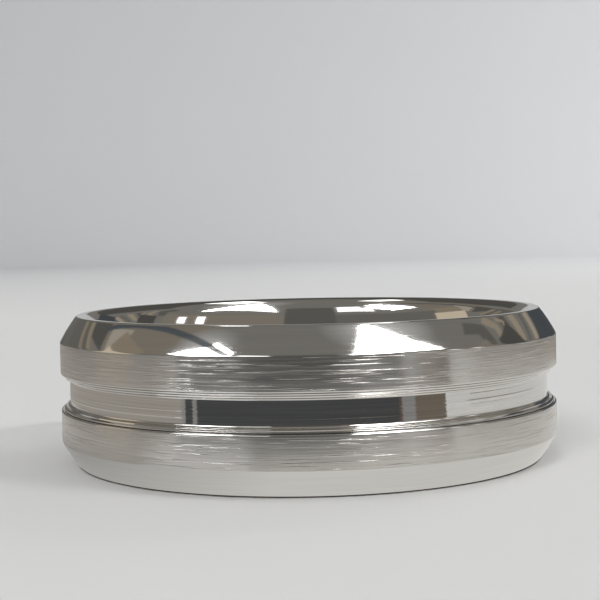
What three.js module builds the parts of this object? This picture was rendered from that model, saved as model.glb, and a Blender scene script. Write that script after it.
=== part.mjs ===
// A wedding band with bevelled edges, two satin faces and a polished groove, in millimetres.
// It lies on its side: its axis is +Z, and its lower rim rests on the plane z = 0.
//
// Four rings make it up. A comfort-fit sleeve lines the bore over the full width. A lower and an
// upper rail fit on the sleeve and carry the bevels and the satin faces. A polished centre band
// sits between the rails, and its channel is the floor of the groove.

import * as THREE from "three";

// Driving dimensions
const insideDiameter = 19.4; // at the middle of the bore, US ring size 9 1/2
const outsideDiameter = 23.5;
const bandWidth = 7;
const bevelDepth = 0.78; // radially
const bevelWidth = 1.2; // along the axis
const bevelCrown = 0.03; // how far the bevel bulges past a straight line
const satinWidth = 1.4;
const grooveDepth = 0.42; // from the satin faces to the channel's floor

const sleeveThickness = 1; // at the middle of the bore, where the comfort fit is fullest
const railEdgeRadius = 0.08; // where a satin face turns into the groove
const landDrops = [0.13, 0.23]; // from a satin face to the centre band's outer and inner lands
const landWidth = 0.06;
const channelFillet = 0.12; // from an inner land down to the channel's floor
const solderLine = 0.02; // the joint between two rings

const turns = 96; // facets around the axis
const comfortSteps = 18;
const crownSteps = 4;
const smallArcSteps = 3;

const boreRadius = insideDiameter / 2;
const outerRadius = outsideDiameter / 2;
const sleeveRadius = boreRadius + sleeveThickness;
const seatRadius = sleeveRadius + solderLine; // the inside of the rails and of the centre band
const rimRadius = outerRadius - bevelDepth; // where the flat rim meets the bevel
const railHeight = bevelWidth + satinWidth + railEdgeRadius;

// Points of an arc about (radius, height), from one angle to another, in degrees.
function arc(radius, height, size, from, to, steps) {
  const points = [];
  for (let step = 0; step <= steps; step += 1) {
    const angle = THREE.MathUtils.degToRad(from + ((to - from) * step) / steps);
    points.push([radius + size * Math.cos(angle), height + size * Math.sin(angle)]);
  }
  return points;
}

// The same outline turned over about the middle of the band, still running the same way round.
function turnedOver(outline) {
  return outline.map(([radius, height]) => [radius, bandWidth - height]).reverse();
}

// Turns a closed outline of [radius, height] points about the Z axis.
function ringOf(outline) {
  const points = outline.map(([radius, height]) => new THREE.Vector2(radius, height));
  points.push(points[0].clone());
  const geometry = new THREE.LatheGeometry(points, turns);
  geometry.rotateX(Math.PI / 2);
  return geometry;
}

// A metal, as polished or as satin as its roughness says.
function metal(roughness) {
  return new THREE.MeshStandardMaterial({ color: 0xc9c7c3, metalness: 1, roughness });
}

// Sleeve: straight outside, and half an ellipse towards the finger.
function sleeveOutline() {
  const outline = [];
  for (let step = 0; step <= comfortSteps; step += 1) {
    const angle = (Math.PI * step) / comfortSteps;
    outline.push([
      sleeveRadius - sleeveThickness * Math.sin(angle),
      (bandWidth / 2) * (1 + Math.cos(angle)),
    ]);
  }
  return outline;
}

// Lower rail's bevel: a low arch from the flat rim to the satin face.
function bevelPoints() {
  const length = Math.hypot(bevelDepth, bevelWidth);
  const points = [];
  for (let step = 0; step <= crownSteps; step += 1) {
    const along = step / crownSteps;
    const bulge = bevelCrown * 4 * along * (1 - along);
    points.push([
      rimRadius + bevelDepth * along + (bulge * bevelWidth) / length,
      bevelWidth * along - (bulge * bevelDepth) / length,
    ]);
  }
  return points;
}

// Lower rail: flat rim, bevel, satin face, and a rounded edge into the groove.
function railOutline() {
  return [
    [seatRadius, 0],
    ...bevelPoints(),
    ...arc(
      outerRadius - railEdgeRadius,
      railHeight - railEdgeRadius,
      railEdgeRadius,
      0,
      90,
      smallArcSteps,
    ),
    [seatRadius, railHeight],
  ];
}

// Centre band: two stepped lands along each side, then a filleted channel between them.
function centreOutline() {
  const [outerLand, innerLand] = landDrops.map((drop) => outerRadius - drop);
  const side = railHeight + solderLine;
  const step = side + landWidth;
  const channel = step + 2 * landWidth;
  const lowerSide = [
    [seatRadius, side],
    [outerLand, side],
    [outerLand, step],
    [innerLand, step + landWidth],
    [innerLand, channel],
    ...arc(
      outerRadius - grooveDepth + channelFillet,
      channel + channelFillet,
      channelFillet,
      270,
      180,
      smallArcSteps,
    ),
  ];
  return [...lowerSide, ...turnedOver(lowerSide)];
}

const polished = metal(0.08);
const satin = metal(0.35);

const band = new THREE.Group();
for (const [name, outline, finish] of [
  ["comfort_fit_sleeve", sleeveOutline(), polished],
  ["lower_rail", railOutline(), satin],
  ["upper_rail", turnedOver(railOutline()), satin],
  ["centre_band", centreOutline(), polished],
]) {
  const ring = new THREE.Mesh(ringOf(outline), finish);
  ring.name = name;
  band.add(ring);
}

export default band;
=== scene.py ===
import math

import bpy
from mathutils import Matrix, Vector
from mathutils.geometry import interpolate_bezier


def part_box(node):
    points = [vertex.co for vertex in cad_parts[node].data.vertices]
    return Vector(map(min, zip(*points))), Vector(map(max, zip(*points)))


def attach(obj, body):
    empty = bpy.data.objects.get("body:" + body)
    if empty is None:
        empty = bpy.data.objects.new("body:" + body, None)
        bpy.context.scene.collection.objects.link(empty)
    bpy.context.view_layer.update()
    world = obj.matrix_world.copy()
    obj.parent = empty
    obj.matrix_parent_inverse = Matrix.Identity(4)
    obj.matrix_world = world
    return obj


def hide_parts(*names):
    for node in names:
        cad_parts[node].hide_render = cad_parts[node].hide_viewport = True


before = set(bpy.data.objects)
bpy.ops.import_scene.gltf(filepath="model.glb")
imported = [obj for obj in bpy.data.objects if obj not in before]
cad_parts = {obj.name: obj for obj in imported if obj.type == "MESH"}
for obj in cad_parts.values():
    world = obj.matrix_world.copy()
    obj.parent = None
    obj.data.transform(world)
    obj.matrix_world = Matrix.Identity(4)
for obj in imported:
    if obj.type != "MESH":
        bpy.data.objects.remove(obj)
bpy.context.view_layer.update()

mm = 0.001  # a millimetre in metres: the rings are shaped in millimetres, and scaled at the end

# ---- shaping a ring: a filled section is drawn in the XZ plane, then its edge is spun round Z

turning = {
    "steps": 480,
    "weld": 0.0001,
    "seam": 0.004,  # the joint between the sleeve and the rings on it
    "reach": 0.0008,  # how near its place a point must lie to be picked
    "smoothAngle": 35,
}


def cadRing(node):
    # outer radius, lowest and highest point of a node, in mm
    low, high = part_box(node)
    return high.x / mm, low.z / mm, high.z / mm


def seatRadius():
    return cadRing("comfort_fit_sleeve")[0] + turning["seam"]


def pickCorners(section, places):
    # selects the section's points at these places, and nothing else
    bpy.ops.object.mode_set(mode="EDIT")
    bpy.ops.mesh.select_mode(type="VERT")
    bpy.ops.mesh.select_all(action="DESELECT")
    bpy.ops.object.mode_set(mode="OBJECT")
    for vertex in section.data.vertices:
        gaps = [math.hypot(vertex.co.x - radius, vertex.co.z - height) for radius, height in places]
        vertex.select = min(gaps) < turning["reach"]
    bpy.ops.object.mode_set(mode="EDIT")


def drawSection(name, corners):
    # a filled circle with a point for each corner, and each point moved to its corner
    bpy.ops.object.select_all(action="DESELECT")
    bpy.ops.mesh.primitive_circle_add(vertices=len(corners), fill_type="NGON")
    section = bpy.context.object
    section.name = section.data.name = name
    for vertex, (radius, height) in zip(section.data.vertices, corners):
        vertex.co = (radius, 0, height)
    return section


def splitSide(section, start, end, cuts):
    pickCorners(section, [start, end])
    bpy.ops.mesh.subdivide(number_cuts=cuts)
    bpy.ops.object.mode_set(mode="OBJECT")


def roundCorners(section, places, size, segments):
    pickCorners(section, places)
    bpy.ops.mesh.bevel(offset=size, segments=segments, affect="VERTICES")
    bpy.ops.object.mode_set(mode="OBJECT")


def turnRing(section):
    # only the section's edge is spun, once round, and the ends are welded
    bpy.ops.object.select_all(action="DESELECT")
    section.select_set(True)
    bpy.context.view_layer.objects.active = section
    bpy.ops.object.mode_set(mode="EDIT")
    bpy.ops.mesh.select_mode(type="VERT")
    bpy.ops.mesh.select_all(action="SELECT")
    bpy.ops.mesh.delete(type="ONLY_FACE")
    bpy.ops.mesh.select_all(action="SELECT")
    bpy.ops.mesh.spin(steps=turning["steps"], angle=2 * math.pi, center=(0, 0, 0), axis=(0, 0, 1))
    bpy.ops.mesh.select_all(action="SELECT")
    bpy.ops.mesh.remove_doubles(threshold=turning["weld"])
    bpy.ops.mesh.normals_make_consistent(inside=False)
    bpy.ops.object.mode_set(mode="OBJECT")
    section.scale = (mm, mm, mm)
    bpy.ops.object.transform_apply(location=False, rotation=False, scale=True)
    bpy.ops.object.shade_smooth_by_angle(angle=math.radians(turning["smoothAngle"]))
    return section


# ---- comfort-fit sleeve

sleeve = {
    "fullness": 1.0,  # mm, how far the bore is domed towards the finger
    "steps": 112,
}


def makeSleeve():
    # an ellipse, cut off along the sleeve's straight outside
    outer, low, high = cadRing("comfort_fit_sleeve")
    bpy.ops.object.select_all(action="DESELECT")
    bpy.ops.mesh.primitive_circle_add(
        vertices=sleeve["steps"], radius=1, fill_type="NGON",
        location=(outer, 0, (low + high) / 2), rotation=(math.pi / 2, 0, 0))
    section = bpy.context.object
    section.name = section.data.name = "comfortSleeve"
    section.scale = (sleeve["fullness"], (high - low) / 2, 1)
    bpy.ops.object.transform_apply(location=True, rotation=True, scale=True)
    bpy.ops.object.mode_set(mode="EDIT")
    bpy.ops.mesh.select_all(action="SELECT")
    bpy.ops.mesh.bisect(plane_co=(outer, 0, 0), plane_no=(1, 0, 0), clear_outer=True)
    bpy.ops.object.mode_set(mode="OBJECT")
    return turnRing(section)


# ---- rails, each with a polished bevel, a satin face and a polished edge into the groove

rail = {
    "bevelDepth": 0.78,
    "bevelWidth": 1.2,
    "crown": 0.03,  # how far the bevel bulges
    "crownCuts": 15,
    "onBevel": 0.001,  # how near the bevel's straight line a point must lie to be lifted
    "grooveEdge": (0.08, 8),  # radius and segments, here and below
    "crispEdge": (0.02, 3),  # the softening left by polishing
    "satinReach": 0.003,  # how near the outer radius a face must lie to be satin
    "upright": 0.05,  # and how far its normal may rise or dip
}


def crownBevel(section, rim, shoulder):
    # lifts the points along the bevel into a low arch
    start = Vector(rim)
    line = Vector(shoulder) - start
    outwards = Vector((abs(line.y), -line.x * math.copysign(1, line.y))).normalized()
    for vertex in section.data.vertices:
        offset = Vector((vertex.co.x, vertex.co.z)) - start
        along = offset.dot(line) / line.length_squared
        if 0 < along < 1 and abs(offset.dot(outwards)) < rail["onBevel"]:
            lift = outwards * rail["crown"] * 4 * along * (1 - along)
            vertex.co += Vector((lift.x, 0, lift.y))


def makeRail(name, node, turnedOver):
    outer, low, high = cadRing(node)
    base, side, up = (high, low, -1) if turnedOver else (low, high, 1)
    rim = (outer - rail["bevelDepth"], base)
    shoulder = (outer, base + up * rail["bevelWidth"])
    section = drawSection(name, [(seatRadius(), base), rim, shoulder, (outer, side), (seatRadius(), side)])
    splitSide(section, rim, shoulder, rail["crownCuts"])
    crownBevel(section, rim, shoulder)
    roundCorners(section, [(outer, side)], *rail["grooveEdge"])
    roundCorners(section, [rim, shoulder], *rail["crispEdge"])
    return turnRing(section)


# ---- centre band, with two stepped lands along each side of its channel

groove = {
    "depth": 0.42,  # below the satin faces
    "landDrops": (0.13, 0.23),
    "landWidth": 0.06,
    "landEdge": (0.009, 4),
    "landTilt": 0.012,  # how much lower a land lies on its channel side
    "fillet": (0.12, 8),
    "polishReach": 0.15,  # the lands are mirror polished, down to this far below the outer ones
    "floorCuts": 83,
    "onFloor": 0.0001,  # how near the channel's floor a point must lie to be moved
    "turnedLines": ((4, 0.0006, 0.4), (7, 0.0006, 2.1), (11, 0.0003, 4.0)),  # count, height, phase
}


def turnLines(section, floorRadius, start, end):
    # the cutter's fine lines along the channel's floor, dying out at its ends
    for vertex in section.data.vertices:
        along = (vertex.co.z - start) / (end - start)
        if abs(vertex.co.x - floorRadius) < groove["onFloor"] and 0 < along < 1:
            for count, height, phase in groove["turnedLines"]:
                wave = math.sin(2 * math.pi * count * along + phase)
                vertex.co.x += height * math.sin(math.pi * along) * wave


def makeCentreBand():
    outerLand, low, high = cadRing("centre_band")
    shoulder = outerLand + groove["landDrops"][0]
    innerLand = shoulder - groove["landDrops"][1]
    floorRadius = shoulder - groove["depth"]
    width = groove["landWidth"]
    tilt = groove["landTilt"]
    lands = [(outerLand, 0), (outerLand - tilt, width)]
    lands += [(innerLand, 2 * width), (innerLand - tilt, 3 * width)]
    half = [(seatRadius(), 0)] + lands + [(floorRadius, 3 * width)]
    section = drawSection(
        "centreBand",
        [(radius, low + height) for radius, height in half]
        + [(radius, high - height) for radius, height in reversed(half)])
    start = low + 3 * width
    end = high - 3 * width
    roundCorners(section, [(floorRadius, start), (floorRadius, end)], *groove["fillet"])
    edges = [(radius, low + height) for radius, height in lands]
    edges += [(radius, high - height) for radius, height in lands]
    roundCorners(section, edges, *groove["landEdge"])
    start += groove["fillet"][0]
    end -= groove["fillet"][0]
    splitSide(section, (floorRadius, start), (floorRadius, end), groove["floorCuts"])
    turnLines(section, floorRadius, start, end)
    return turnRing(section)


print("shaping the rings")
sleeveRing = makeSleeve()
lowerRail = makeRail("lowerRail", "lower_rail", False)
upperRail = makeRail("upperRail", "upper_rail", True)
centreBand = makeCentreBand()

for ring, node, slot in (
    (sleeveRing, "comfort_fit_sleeve", "polished_sleeve"),
    (lowerRail, "lower_rail", "satin_rail"),
    (upperRail, "upper_rail", "satin_rail"),
    (centreBand, "centre_band", "polished_groove"),
):
    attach(ring, "root")
    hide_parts(node)
    print(ring.name, len(ring.data.polygons), "faces")

# ---- metals

mirror = {
    "light": (0.78, 0.77, 0.75, 1),
    "dark": (0.755, 0.743, 0.72, 1),
    "along": 300,  # lines per metre round the band, and across it
    "across": 12000,
    "roughness": (0.05, 0.10),
    "height": 1e-8,
    "dashes": 0,  # how much deeper the few coarse scratches are than the fine lines
    "anisotropy": 0,
}
satin = {
    "light": (0.73, 0.71, 0.68, 1),
    "dark": (0.65, 0.63, 0.60, 1),
    "along": 290,
    "across": 16000,
    "roughness": (0.20, 0.30),
    "height": 1e-6,
    "dashes": 6,
    "anisotropy": 0.9,
}
turned = {
    "light": (0.78, 0.76, 0.73, 1),
    "dark": (0.68, 0.66, 0.63, 1),
    "along": 150,
    "across": 16000,
    "roughness": (0.04, 0.09),
    "height": 4e-8,
    "dashes": 0,
    "anisotropy": 0,
}
brushing = {
    # the noise that every metal shares
    "detail": 2,
    "roughness": 0.5,
    "contrast": (0.33, 0.67),
    "scratchScale": (1.2, 1.2, 0.95),  # against the fine lines
    "scratchRarity": (0.58, 0.67),
    "blotches": 260,
}


def addNode(tree, kind, x, y):
    node = tree.nodes.new(kind)
    node.location = (x, y)
    return node


def makeLinesGroup():
    # lines round the band, long and thin, with blotches of finer and coarser finish over them
    group = bpy.data.node_groups.new("linesRoundTheBand", "ShaderNodeTree")
    sockets = group.interface
    for name, kind in (("Along", "NodeSocketFloat"), ("Across", "NodeSocketFloat"),
                       ("Light", "NodeSocketColor"), ("Dark", "NodeSocketColor"),
                       ("Fine", "NodeSocketFloat"), ("Coarse", "NodeSocketFloat"),
                       ("Dashes", "NodeSocketFloat")):
        sockets.new_socket(name=name, in_out="INPUT", socket_type=kind)
    for name, kind in (("Colour", "NodeSocketColor"), ("Roughness", "NodeSocketFloat"),
                       ("Height", "NodeSocketFloat")):
        sockets.new_socket(name=name, in_out="OUTPUT", socket_type=kind)
    values = addNode(group, "NodeGroupInput", -900, 0)
    result = addNode(group, "NodeGroupOutput", 700, 0)
    place = addNode(group, "ShaderNodeTexCoord", -900, 300)
    stretch = addNode(group, "ShaderNodeCombineXYZ", -700, 100)
    scaled = addNode(group, "ShaderNodeVectorMath", -500, 200)
    scaled.operation = "MULTIPLY"
    group.links.new(values.outputs["Along"], stretch.inputs["X"])
    group.links.new(values.outputs["Along"], stretch.inputs["Y"])
    group.links.new(values.outputs["Across"], stretch.inputs["Z"])
    group.links.new(place.outputs["Object"], scaled.inputs[0])
    group.links.new(stretch.outputs["Vector"], scaled.inputs[1])
    lines = addNode(group, "ShaderNodeTexNoise", -300, 250)
    lines.inputs["Scale"].default_value = 1
    lines.inputs["Detail"].default_value = brushing["detail"]
    lines.inputs["Roughness"].default_value = brushing["roughness"]
    group.links.new(scaled.outputs["Vector"], lines.inputs["Vector"])
    longer = addNode(group, "ShaderNodeVectorMath", -500, 450)
    longer.operation = "MULTIPLY"
    longer.inputs[1].default_value = brushing["scratchScale"]
    group.links.new(scaled.outputs["Vector"], longer.inputs[0])
    scratches = addNode(group, "ShaderNodeTexNoise", -300, 500)
    scratches.inputs["Scale"].default_value = 1
    scratches.inputs["Detail"].default_value = 1
    group.links.new(longer.outputs["Vector"], scratches.inputs["Vector"])
    rare = addNode(group, "ShaderNodeMapRange", -80, 500)
    rare.inputs["From Min"].default_value = brushing["scratchRarity"][0]
    rare.inputs["From Max"].default_value = brushing["scratchRarity"][1]
    group.links.new(scratches.outputs["Fac"], rare.inputs["Value"])
    deep = addNode(group, "ShaderNodeMath", 100, 500)
    deep.operation = "MULTIPLY_ADD"
    group.links.new(rare.outputs["Result"], deep.inputs[0])
    group.links.new(values.outputs["Dashes"], deep.inputs[1])
    blotches = addNode(group, "ShaderNodeTexNoise", -300, -50)
    blotches.inputs["Scale"].default_value = brushing["blotches"]
    blotches.inputs["Detail"].default_value = 2
    group.links.new(place.outputs["Object"], blotches.inputs["Vector"])
    sharp = addNode(group, "ShaderNodeMapRange", -80, 250)
    sharp.inputs["From Min"].default_value = brushing["contrast"][0]
    sharp.inputs["From Max"].default_value = brushing["contrast"][1]
    group.links.new(lines.outputs["Fac"], sharp.inputs["Value"])
    colours = addNode(group, "ShaderNodeMix", 300, 250)
    colours.data_type = "RGBA"
    group.links.new(sharp.outputs["Result"], colours.inputs[0])
    group.links.new(values.outputs["Dark"], colours.inputs[6])
    group.links.new(values.outputs["Light"], colours.inputs[7])
    both = addNode(group, "ShaderNodeMath", 100, 0)
    both.operation = "MULTIPLY"
    group.links.new(sharp.outputs["Result"], both.inputs[0])
    group.links.new(blotches.outputs["Fac"], both.inputs[1])
    finish = addNode(group, "ShaderNodeMapRange", 300, -50)
    group.links.new(both.outputs["Value"], finish.inputs["Value"])
    group.links.new(values.outputs["Fine"], finish.inputs["To Min"])
    group.links.new(values.outputs["Coarse"], finish.inputs["To Max"])
    group.links.new(colours.outputs[2], result.inputs["Colour"])
    group.links.new(finish.outputs["Result"], result.inputs["Roughness"])
    group.links.new(sharp.outputs["Result"], deep.inputs[2])
    group.links.new(deep.outputs["Value"], result.inputs["Height"])
    return group


def makeMetal(name, lines, values):
    metal = bpy.data.materials.new(name)
    metal.use_nodes = True
    tree = metal.node_tree
    shader = tree.nodes["Principled BSDF"]
    shader.inputs["Metallic"].default_value = 1
    shader.inputs["Anisotropic"].default_value = values["anisotropy"]
    shader.inputs["Anisotropic Rotation"].default_value = 0.25  # the brushing runs round the band
    finish = addNode(tree, "ShaderNodeGroup", -500, 200)
    finish.node_tree = lines
    finish.inputs["Along"].default_value = values["along"]
    finish.inputs["Across"].default_value = values["across"]
    finish.inputs["Light"].default_value = values["light"]
    finish.inputs["Dark"].default_value = values["dark"]
    finish.inputs["Fine"].default_value = values["roughness"][0]
    finish.inputs["Coarse"].default_value = values["roughness"][1]
    finish.inputs["Dashes"].default_value = values["dashes"]
    bump = addNode(tree, "ShaderNodeBump", -250, -150)
    bump.inputs["Strength"].default_value = 1
    bump.inputs["Distance"].default_value = values["height"]
    tree.links.new(finish.outputs["Height"], bump.inputs["Height"])
    tree.links.new(finish.outputs["Colour"], shader.inputs["Base Color"])
    tree.links.new(finish.outputs["Roughness"], shader.inputs["Roughness"])
    tree.links.new(bump.outputs["Normal"], shader.inputs["Normal"])
    return metal


print("finishing the metals")
linesGroup = makeLinesGroup()
mirrorMetal = makeMetal("mirrorPolish", linesGroup, mirror)
satinMetal = makeMetal("satinBrushing", linesGroup, satin)
turnedMetal = makeMetal("turnedPolish", linesGroup, turned)

sleeveRing.data.materials.append(mirrorMetal)
centreBand.data.materials.append(turnedMetal)
centreBand.data.materials.append(mirrorMetal)
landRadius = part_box("centre_band")[1].x - groove["polishReach"] * mm
for polygon in centreBand.data.polygons:
    if math.hypot(polygon.center.x, polygon.center.y) > landRadius:
        polygon.material_index = 1
for ring, node in ((lowerRail, "lower_rail"), (upperRail, "upper_rail")):
    ring.data.materials.append(mirrorMetal)
    ring.data.materials.append(satinMetal)
    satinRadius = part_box(node)[1].x - rail["satinReach"] * mm
    for polygon in ring.data.polygons:
        upright = abs(polygon.normal.z) < rail["upright"]
        if upright and math.hypot(polygon.center.x, polygon.center.y) > satinRadius:
            polygon.material_index = 1

# ---- floor, backdrop and soft light

stage = {
    "radius": 0.55,
    "wall": 0.4,
    "sides": 128,
    "sweep": (0.12, 16),  # rounding between floor and backdrop
    "smoothAngle": 60,
    "below": 0.0002,  # how far the backdrop's foot lies under the floor
    "floorRadius": 0.44,
    "floorFade": 0.12,  # where the floor starts to take the backdrop's colour
    "floorColour": (0.81, 0.81, 0.80, 1),
    "backdropColour": (0.575, 0.58, 0.59, 1),
    "sky": 0.5,
}
lights = {
    # place, what it points at, size, power
    "windowLight": ((0.50, -0.30, 0.36), (0, 0, 0), 0.2, 4.0),
    "frontLight": ((-0.18, -0.45, 0.34), (0, 0, 0), 0.2, 1.0),
    "wallLight": ((0.30, 0.28, 0.30), (0.15, 0.54, 0.10), 0.12, 0.9),
}


def paperMaterial(name, colour):
    paper = bpy.data.materials.new(name)
    paper.use_nodes = True
    shader = paper.node_tree.nodes["Principled BSDF"]
    shader.inputs["Base Color"].default_value = colour
    shader.inputs["Roughness"].default_value = 0.9
    shader.inputs["Specular IOR Level"].default_value = 0.1
    return paper


def fadeFloor(tree):
    # the floor ends in the backdrop's colour, so its rim doesn't show
    place = addNode(tree, "ShaderNodeTexCoord", -900, 200)
    reach = addNode(tree, "ShaderNodeVectorMath", -700, 200)
    reach.operation = "LENGTH"
    fade = addNode(tree, "ShaderNodeMapRange", -500, 200)
    fade.inputs["From Min"].default_value = stage["floorFade"]
    fade.inputs["From Max"].default_value = stage["floorRadius"]
    mix = addNode(tree, "ShaderNodeMix", -300, 200)
    mix.data_type = "RGBA"
    mix.inputs[6].default_value = stage["floorColour"]
    mix.inputs[7].default_value = stage["backdropColour"]
    tree.links.new(place.outputs["Object"], reach.inputs[0])
    tree.links.new(reach.outputs["Value"], fade.inputs["Value"])
    tree.links.new(fade.outputs["Result"], mix.inputs[0])
    tree.links.new(mix.outputs[2], tree.nodes["Principled BSDF"].inputs["Base Color"])


print("setting the stage")
bpy.ops.object.select_all(action="DESELECT")
bpy.ops.mesh.primitive_circle_add(vertices=stage["sides"], radius=stage["floorRadius"], fill_type="NGON")
floor = bpy.context.object
floor.name = "floor"
bpy.ops.mesh.primitive_circle_add(
    vertices=stage["sides"], radius=stage["radius"], fill_type="NOTHING", location=(0, 0, stage["wall"]))
backdrop = bpy.context.object
backdrop.name = "backdrop"
bpy.ops.object.mode_set(mode="EDIT")
bpy.ops.mesh.select_mode(type="EDGE")
bpy.ops.mesh.select_all(action="SELECT")
bpy.ops.mesh.extrude_region_move(TRANSFORM_OT_translate={"value": (0, 0, -stage["wall"] - stage["below"])})
bpy.ops.mesh.edge_face_add()
bpy.ops.mesh.bevel(offset=stage["sweep"][0], segments=stage["sweep"][1])
bpy.ops.object.mode_set(mode="OBJECT")
bpy.ops.object.shade_smooth_by_angle(angle=math.radians(stage["smoothAngle"]))
for piece in (floor, backdrop):
    piece.data.materials.append(paperMaterial(piece.name + "Paper", stage[piece.name + "Colour"]))
fadeFloor(floor.data.materials[0].node_tree)
backdrop.visible_glossy = False  # the metal reflects the cards and the pale room instead

world = bpy.data.worlds.new("paleRoom")
bpy.context.scene.world = world
world.use_nodes = True
world.node_tree.nodes["Background"].inputs["Color"].default_value = (1, 1, 1, 1)
world.node_tree.nodes["Background"].inputs["Strength"].default_value = stage["sky"]

for name, (place, target, size, power) in lights.items():
    bpy.ops.object.light_add(type="AREA", location=place)
    light = bpy.context.object
    light.name = name
    light.data.size = size
    light.data.energy = power
    light.rotation_euler = (Vector(target) - Vector(place)).to_track_quat("-Z", "Y").to_euler()
    light.visible_glossy = False
    light.visible_camera = False

# ---- what the metal reflects: glowing cards that only reflections see

warmDark = (1, 0.96, 0.88)
tan = (1, 0.86, 0.66)
beige = (1, 0.90, 0.76)
white = (1, 1, 1)
blueBlack = (0.8, 0.9, 1)
warmWhite = (1, 0.985, 0.95)
paleCream = (1, 0.97, 0.92)
cream = (1, 0.94, 0.86)
brown = (1, 0.85, 0.7)
reddish = (1, 0.7, 0.6)
coolGrey = (0.92, 0.97, 1)
paleGrey = (0.97, 0.98, 1)
grooveFront = (0.8, -6.5)  # mm, where the cards seen in the front of the groove fan out from
cards = {
    "height": 1.5,  # of the ceiling cards; their corners are given as if they hung 1 metre up
    "layer": 0.01,  # each layer hangs this much lower, in front of the others
    "standingCells": (16, 6),
    "tableLayer": 0.00001,
    "tableCells": (240, 2),
}
tableGlowAndShade = {
    # the pale table next to the band glows, with painted shade on the left where the band's shadow falls:
    # place across, and strength there
    "left": (-0.0115, 0.36),
    "right": (-0.002, 0.66),
}


def glowMaterial(name, colour, strength):
    glow = bpy.data.materials.new(name)
    glow.use_nodes = True
    tree = glow.node_tree
    tree.nodes.clear()
    emission = addNode(tree, "ShaderNodeEmission", 0, 0)
    emission.inputs["Color"].default_value = (*colour, 1)
    emission.inputs["Strength"].default_value = strength
    output = addNode(tree, "ShaderNodeOutputMaterial", 200, 0)
    tree.links.new(emission.outputs["Emission"], output.inputs["Surface"])
    return glow


def reflectOnly(card, colour, strength):
    card.data.materials.append(glowMaterial(card.name, colour, strength))
    card.visible_camera = False
    card.visible_diffuse = False
    card.visible_shadow = False
    card.visible_transmission = False
    card.visible_volume_scatter = False


def ceilingCard(name, layer, corners, colour, strength):
    # a flat card overhead
    height = cards["height"] - cards["layer"] * layer
    bpy.ops.mesh.primitive_circle_add(vertices=len(corners), fill_type="NGON")
    card = bpy.context.object
    card.name = name
    for vertex, (x, y) in zip(card.data.vertices, corners):
        vertex.co = (x * height, y * height, height)
    reflectOnly(card, colour, strength)


def softCard(name, layer, centre, radius, colour, strength):
    # a round glow overhead that fades out to its edge
    height = cards["height"] - cards["layer"] * layer
    bpy.ops.mesh.primitive_plane_add(size=2, location=(centre[0] * height, centre[1] * height, height))
    card = bpy.context.object
    card.name = name
    card.scale = (radius[0] * height, radius[1] * height, 1)
    reflectOnly(card, colour, strength)
    tree = card.data.materials[0].node_tree
    place = addNode(tree, "ShaderNodeTexCoord", -700, 100)
    fade = addNode(tree, "ShaderNodeTexGradient", -450, 100)
    fade.gradient_type = "SPHERICAL"
    clear = addNode(tree, "ShaderNodeBsdfTransparent", -250, -100)
    mix = addNode(tree, "ShaderNodeMixShader", 0, 150)
    tree.links.new(place.outputs["Object"], fade.inputs["Vector"])
    tree.links.new(fade.outputs["Fac"], mix.inputs["Fac"])
    tree.links.new(clear.outputs["BSDF"], mix.inputs[1])
    tree.links.new(tree.nodes["Emission"].outputs["Emission"], mix.inputs[2])
    tree.links.new(mix.outputs["Shader"], tree.nodes["Material Output"].inputs["Surface"])


def box(x0, y0, x1, y1):
    return [(x0, y0), (x1, y0), (x1, y1), (x0, y1)]


def strip(points, width):
    # the outline of a band of that width along a line of points
    left, right = [], []
    for index, point in enumerate(points):
        ahead = Vector(points[min(index + 1, len(points) - 1)]) - Vector(points[max(index - 1, 0)])
        across = Vector((-ahead.y, ahead.x)).normalized() * width / 2
        left.append(Vector(point) + across)
        right.append(Vector(point) - across)
    return left + right[::-1]


def standingCard(name, azimuths, elevations, distance, colour, strength, centre=(0, 0)):
    # a curved card standing round the band; azimuth 0 is in front of the camera, 90 on the right
    columns, rows = cards["standingCells"]
    bpy.ops.mesh.primitive_grid_add(x_subdivisions=columns, y_subdivisions=rows, size=1)
    card = bpy.context.object
    card.name = name
    for vertex in card.data.vertices:
        azimuth = math.radians(azimuths[0] + (azimuths[1] - azimuths[0]) * (vertex.co.x + 0.5))
        elevation = math.radians(elevations[0] + (elevations[1] - elevations[0]) * (vertex.co.y + 0.5))
        reach = distance * math.cos(elevation)
        vertex.co = (reach * math.sin(azimuth), -reach * math.cos(azimuth), distance * math.sin(elevation))
        vertex.co += Vector((*centre, 0)) * mm
    reflectOnly(card, colour, strength)


def tableCard(name, layer, azimuths, radii, colour, strength, centre=(0, 0)):
    # a sector of the table round the band, radii in mm
    columns, rows = cards["tableCells"]
    bpy.ops.mesh.primitive_grid_add(x_subdivisions=columns, y_subdivisions=rows, size=1)
    card = bpy.context.object
    card.name = name
    for vertex in card.data.vertices:
        azimuth = math.radians(azimuths[0] + (azimuths[1] - azimuths[0]) * (vertex.co.x + 0.5))
        reach = (radii[0] + (radii[1] - radii[0]) * (vertex.co.y + 0.5)) * mm
        vertex.co = (reach * math.sin(azimuth), -reach * math.cos(azimuth), cards["tableLayer"] * layer)
        vertex.co += Vector((*centre, 0)) * mm
    reflectOnly(card, colour, strength)


# painted shade: the table card's glow dims towards the left, standing in for the band's shadow there
def shadeTableLeft(tree):
    place = addNode(tree, "ShaderNodeTexCoord", -700, 0)
    sides = addNode(tree, "ShaderNodeSeparateXYZ", -500, 0)
    fade = addNode(tree, "ShaderNodeMapRange", -300, 0)
    fade.inputs["From Min"].default_value, fade.inputs["To Min"].default_value = tableGlowAndShade["left"]
    fade.inputs["From Max"].default_value, fade.inputs["To Max"].default_value = tableGlowAndShade["right"]
    tree.links.new(place.outputs["Object"], sides.inputs["Vector"])
    tree.links.new(sides.outputs["X"], fade.inputs["Value"])
    tree.links.new(fade.outputs["Result"], tree.nodes["Emission"].inputs["Strength"])


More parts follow.
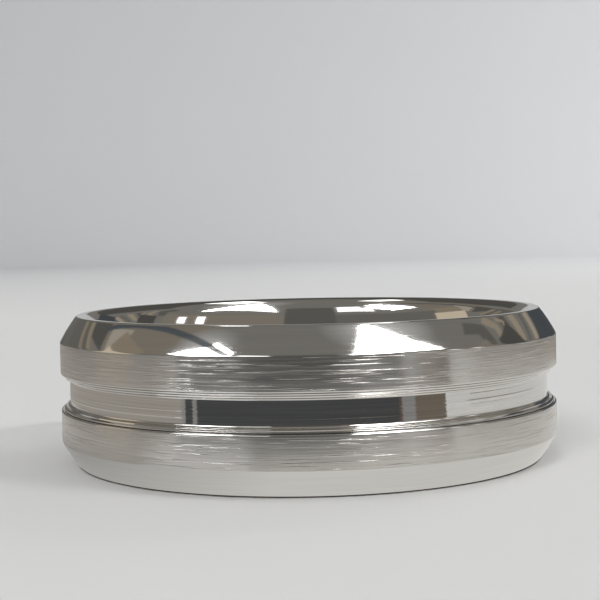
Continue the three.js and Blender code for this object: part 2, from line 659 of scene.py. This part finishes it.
print("hanging the cards")
ceilingCard("ceiling", 0, box(-7, -7, 7, 7), warmDark, 0.19)
ceilingCard("rightLamp", 5, [(0.3, -0.3), (0.75, -0.4), (1.15, -0.35), (0.8, -0.7), (0.4, -1.2),
                             (0.35, -0.75)], white, 13)
softCard("rightHalo", 2, (0.50, -0.36), (0.46, 0.36), white, 0.55)
ceilingCard("leftLamp", 5, [(-1.2, -0.25), (-0.8, -0.4), (-0.65, -0.4), (-0.6, -0.6), (-0.75, -0.8),
                            (-1.2, -0.7)], white, 11)
softCard("leftHalo", 3, (-0.80, -0.36), (0.36, 0.24), white, 0.5)
ceilingCard("lowLamp", 5, [(-0.36, -0.88), (-0.52, -1.30), (-1.05, -1.0), (-0.70, -0.66)], white, 1.8)
ceilingCard("overheadLeft", 5, [(-0.30, -0.15), (-0.45, -0.08), (-0.47, 0.2), (-0.35, 0.25)], white, 3)
ceilingCard("overheadRight", 5, box(0.22, -0.12, 0.44, 0.3), white, 3)
standingCard("spotLamp1", (80, 86), (22, 30), 0.40, white, 2)
standingCard("spotLamp2", (66, 72), (22, 31), 0.40, white, 2)
armCurve = interpolate_bezier((-0.65, -0.8), (-0.75, -0.2), (-0.9, 0.2), (-1.55, 1.15), 20)
ceilingCard("lampArm", 7, strip(armCurve, 0.085), blueBlack, 0.10)
ceilingCard("leftWash", 1, [(-0.5, -0.2), (-0.6, 0.5), (-0.95, 1.3), (-1.5, 1.3), (-2.6, 0.5), (-2.6, -0.4),
                            (-1.25, -0.2)], beige, 0.205)
ceilingCard("leftShelf", 4, [(-1.95, 0.9), (-1.4, 0.9), (-1.2, 0.45), (-1.75, 0.5)], beige, 0.36)
ceilingCard("leftDoor", 2, [(-1.3, 1.0), (-2.05, 1.05), (-1.9, 1.7), (-1.5, 1.75)], warmDark, 0.095)
ceilingCard("leftTan1", 2, strip([(-1.65, 1.95), (-2.15, 1.75), (-2.5, 1.6)], 0.3), tan, 0.26)
ceilingCard("leftTan2", 2, strip([(-1.75, 2.6), (-2.3, 2.45), (-2.9, 2.35)], 0.4), tan, 0.24)
ceilingCard("leftDark", 1, [(-1.5, 1.7), (-2.8, 1.5), (-6.5, 3.0), (-6.5, 6.5), (-1.5, 6.5)], warmDark, 0.13)
ceilingCard("rightDark1", 2, strip([(1.1, 0.1), (1.3, 0.3), (1.75, 0.3)], 0.2), warmDark, 0.12)
ceilingCard("rightTan1", 3, strip([(1.2, 0.45), (1.45, 0.6), (1.9, 0.6)], 0.13), tan, 0.30)
ceilingCard("rightDark2", 3, strip([(1.35, 0.85), (2.2, 0.9)], 0.22), warmDark, 0.10)
ceilingCard("rightTan2", 4, strip([(1.35, 0.7), (1.5, 0.85), (1.8, 0.7)], 0.07), tan, 0.32)
ceilingCard("rightTan3", 3, strip([(1.45, 1.2), (2.4, 1.35)], 0.24), tan, 0.32)
ceilingCard("rightDark3", 3, strip([(1.6, 1.7), (2.6, 1.75)], 0.2), warmDark, 0.14)
ceilingCard("rightTan4", 3, strip([(1.7, 2.1), (2.85, 2.4)], 0.34), tan, 0.36)
ceilingCard("rightBlack", 2, [(1.5, 2.5), (3.0, 2.7), (7, 5.5), (7, 7), (1.5, 7)], blueBlack, 0.085)
standingCard("darkFront", (-62, 38), (-1, 14), 0.30, warmDark, 0.09, grooveFront)
standingCard("frontBar1", (-62, -60), (-1, 8), 0.28, white, 0.28, grooveFront)
standingCard("frontBar2", (-56.5, -54.5), (-1, 8), 0.28, white, 0.26, grooveFront)
standingCard("darkMiddle", (-20, 13), (13, 48), 0.31, warmDark, 0.115)
standingCard("frontRight", (9, 98), (12, 34), 0.45, beige, 0.22)
standingCard("frontLeft", (-92, -15), (12, 32), 0.45, warmDark, 0.15)
standingCard("leftOchre", (-113, -88), (5, 28), 0.44, tan, 0.60)
standingCard("leftOchreHigh", (-112, -90), (28, 36), 0.44, tan, 0.25)
ceilingCard("ceilingBehind", 4, [(-0.75, 0.25), (0.95, 0.3), (1.15, 1.0), (1.2, 3.0), (-1.2, 3.0),
                                 (-1.1, 1.0)], warmDark, 0.085)
standingCard("backRight", (142, 163), (-0.5, 21), 0.43, blueBlack, 0.08)
standingCard("rightDoor", (104, 119), (12, 30), 0.44, warmDark, 0.08)
standingCard("tableEdgeLeft", (-160, -55), (-4.5, 4), 0.35, warmDark, 0.10)
standingCard("tableEdgeRight", (55, 140), (-4.5, 3), 0.35, warmDark, 0.14)
standingCard("backLeft", (-168, -145), (-0.5, 10), 0.43, warmDark, 0.14)
# the dark table in front of the groove: its own dark colour, together with painted shadow of the phone, seen
# only in reflections
tableCard("darkTableAndShadow", 6, (-62, 38), (20.5, 300), coolGrey, 0.074, grooveFront)
# painted shadow of the phone on the table in front, seen only in reflections
tableCard("phoneShadow", 6, (-22, 16), (22, 27), white, 0.22)
tableCard("tableNear", 2, (-180, 180), (11.04, 29), warmWhite, tableGlowAndShade["right"][1])
# its glow dimmed on the left as painted shade
shadeTableLeft(bpy.context.object.data.materials[0].node_tree)
# painted shadow: a dark ring of card where the band meets the table, so the bevel's foot reflects a contact
# shadow
tableCard("contactShadow", 2, (-180, 180), (10.9, 11.04), warmDark, 0.05)
tableCard("tableMiddle", 3, (-168, -52), (17, 29), paleCream, 0.50)
tableCard("tableFront", 3, (-52, -18), (15, 29), white, 0.76)
tableCard("tableLeft", 4, (-168, -42), (29, 300), cream, 0.35)
tableCard("tableBar1", 8, (-62, -60), (20.5, 300), white, 0.30, grooveFront)
tableCard("tableBar2", 8, (-56.5, -54.5), (20.5, 300), white, 0.28, grooveFront)
tableCard("tableBar3", 4, (39.5, 46), (20.5, 300), paleGrey, 0.27, grooveFront)
tableCard("tableBar4", 4, (38, 39.5), (20.5, 300), reddish, 0.12, grooveFront)
tableCard("tableBar5", 4, (46, 61.5), (20.5, 300), brown, 0.17, grooveFront)
tableCard("tableRightFar", 4, (68, 168), (45, 300), beige, 0.33)

# ---- camera

camera = {
    "place": (-1.95, -64.8, 10.7),  # mm
    "lens": 81,
    "sensor": 36,
    "nearest": 0.001,  # metres; anything nearer than this isn't drawn
    "down": 2.88,  # degrees
    "right": 1.43,
    "roll": -1.17,
}
bpy.ops.object.camera_add(location=[value * mm for value in camera["place"]])
view = bpy.context.object
view.name = "camera"
view.data.lens = camera["lens"]
view.data.sensor_width = camera["sensor"]
view.data.clip_start = camera["nearest"]
view.rotation_euler = (
    Matrix.Rotation(-math.radians(camera["right"]), 3, "Z")
    @ Matrix.Rotation(math.radians(90 - camera["down"]), 3, "X")
    @ Matrix.Rotation(math.radians(camera["roll"]), 3, "Z")
).to_euler()
bpy.context.scene.camera = view
bpy.context.scene.view_settings.view_transform = "Standard"

print("done")
